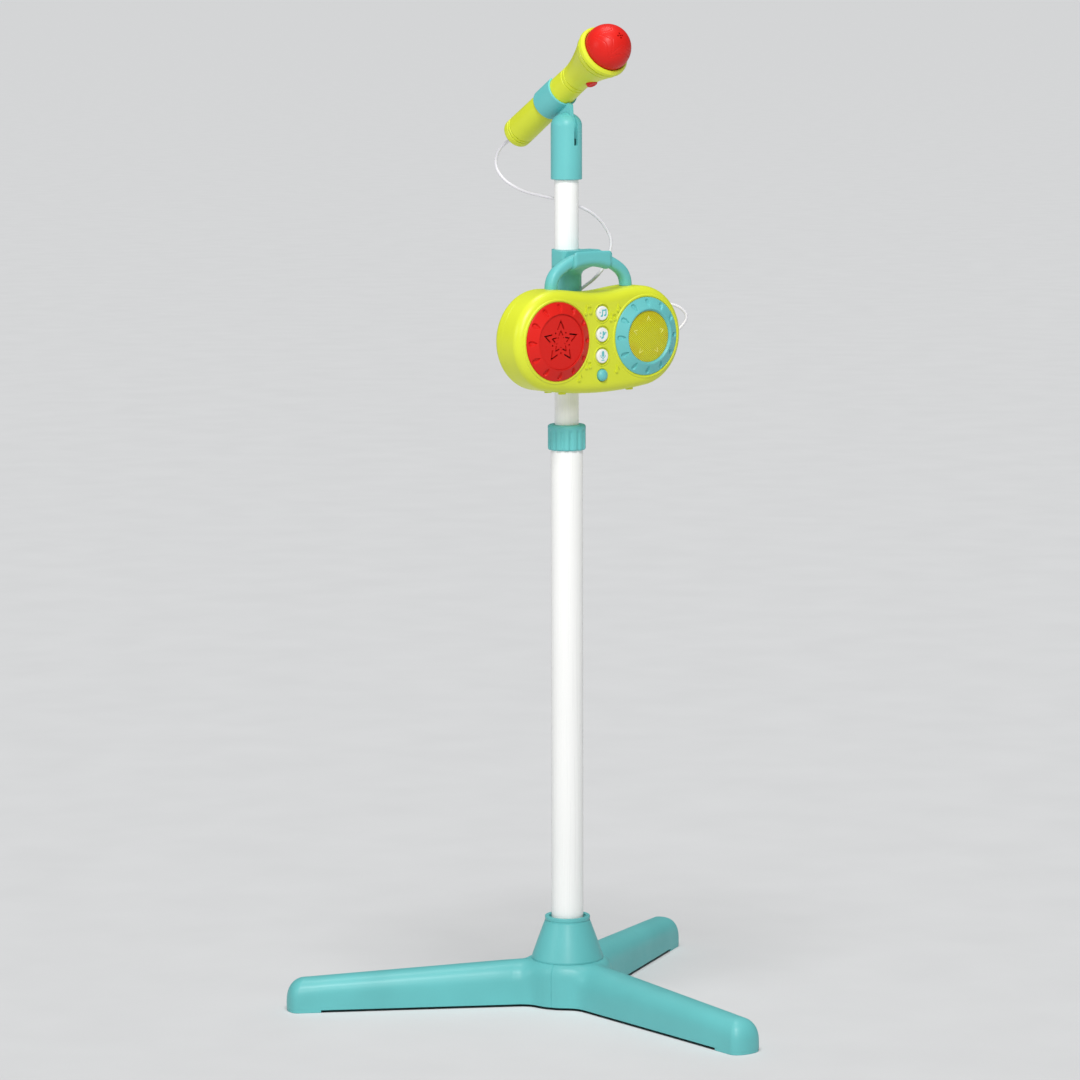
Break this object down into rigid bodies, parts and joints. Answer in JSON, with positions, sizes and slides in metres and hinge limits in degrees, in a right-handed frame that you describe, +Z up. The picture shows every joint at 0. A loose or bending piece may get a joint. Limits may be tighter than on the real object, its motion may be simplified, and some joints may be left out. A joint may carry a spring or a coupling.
{
  "type": "toy microphone",
  "caption": "Toy microphone in a tilting clip on a height-adjustable three-legged stand, wired to a clip-on speaker box with buttons and lights.",
  "frame": {"origin": "on the floor, under the axis of the pole", "axes": "+Z up along the pole, -Y towards the front leg and the way the microphone points, +X to the right as seen from the front"},
  "size_m": [0.4972, 0.4353, 0.9768],
  "materials": {
    "teal_plastic": "satin moulded plastic",
    "lime_plastic": "satin moulded plastic",
    "red_plastic": "satin moulded plastic",
    "white_plastic": "glossy moulded plastic",
    "tube_white": "white powder coat",
    "lens_amber": "tinted translucent plastic with a fine mesh pattern",
    "cord_white": "soft vinyl sheath",
    "dark_plastic": "matte",
    "soft_grey": "silicone rubber",
    "steel": "zinc plated",
    "board_green": "solder mask over glass fibre",
    "paper_grey": "coated paper cone",
    "cell_sleeve": "shrink sleeve"
  },
  "bodies": {
    "base": {"leg_front": "teal_plastic", "leg_left": "teal_plastic", "leg_right": "teal_plastic", "base_plate": "dark_plastic", "base_cone": "teal_plastic", "base_screws": "steel", "lower_tube": "tube_white", "tube_foot_plug": "dark_plastic", "tube_screw": "steel", "clamp_collet": "white_plastic"},
    "lock_collar": {"lock_collar": "teal_plastic"},
    "mast": {"guide_bush": "white_plastic", "upper_tube": "tube_white", "clip_mount": "teal_plastic", "pivot_screw": "steel", "bracket": "teal_plastic", "bracket_screw": "steel", "box_front_shell": "lime_plastic", "box_rear_shell": "lime_plastic", "red_bezel": "red_plastic", "star_grille": "red_plastic", "speaker_basket": "dark_plastic", "speaker_cone": "paper_grey", "speaker_magnet": "steel", "light_bezel": "teal_plastic", "light_lens": "lens_amber", "light_reflector": "white_plastic", "light_board": "board_green", "key_pad": "soft_grey", "main_board": "board_green", "batteries": "cell_sleeve", "battery_contacts": "steel", "box_screws": "steel", "box_feet": "lime_plastic", "handle": "teal_plastic", "cord_gland": "cord_white", "cord": "cord_white"},
    "clip": {"mic_clip": "teal_plastic"},
    "mic": {"mic_handle": "lime_plastic", "mic_bell": "lime_plastic", "mic_tail_cap": "lime_plastic", "mic_ball": "red_plastic", "capsule_holder": "dark_plastic", "mic_capsule": "steel", "mic_board": "board_green", "cord_relief": "cord_white"},
    "talk_button": {"mic_button": "red_plastic"},
    "song_button": {"song_button": "white_plastic"},
    "effect_button": {"effect_button": "white_plastic"},
    "voice_button": {"voice_button": "white_plastic"},
    "volume_button": {"volume_button": "teal_plastic"},
    "battery_door": {"battery_door": "lime_plastic", "door_screw": "steel"}
  },
  "joints": [
    {"name": "height_slide", "type": "slide", "parent": "base", "child": "mast", "axis": [0, 0, 1], "range_m": [-0.03, 0.08]},
    {"name": "collar_twist", "type": "hinge", "parent": "base", "child": "lock_collar", "pos_m": [0, 0, 0.57], "axis": [0, 0, 1], "range_deg": [0, 150]},
    {"name": "clip_tilt", "type": "hinge", "parent": "mast", "child": "clip", "pos_m": [0, 0, 0.878], "axis": [1, 0, 0], "range_deg": [-15, 45], "deforming": ["cord"]},
    {"name": "mic_twist", "type": "hinge", "parent": "clip", "child": "mic", "pos_m": [0, -0.0648, 0.9538], "axis": [0, -0.8572, 0.515], "range_deg": [-90, 90]},
    {"name": "talk_press", "type": "slide", "parent": "mic", "child": "talk_button", "axis": [0, 0.515, 0.8572], "range_m": [0, 0.001], "stiffness_N_per_m": 500},
    {"name": "song_press", "type": "slide", "parent": "mast", "child": "song_button", "axis": [0, 1, 0], "range_m": [0, 0.0012], "stiffness_N_per_m": 500},
    {"name": "effect_press", "type": "slide", "parent": "mast", "child": "effect_button", "axis": [0, 1, 0], "range_m": [0, 0.0012], "stiffness_N_per_m": 500},
    {"name": "voice_press", "type": "slide", "parent": "mast", "child": "voice_button", "axis": [0, 1, 0], "range_m": [0, 0.0012], "stiffness_N_per_m": 500},
    {"name": "volume_press", "type": "slide", "parent": "mast", "child": "volume_button", "axis": [0, 1, 0], "range_m": [0, 0.0012], "stiffness_N_per_m": 500},
    {"name": "door_pull", "type": "slide", "parent": "mast", "child": "battery_door", "axis": [0, 1, 0], "range_m": [0, 0.03]}
  ]
}
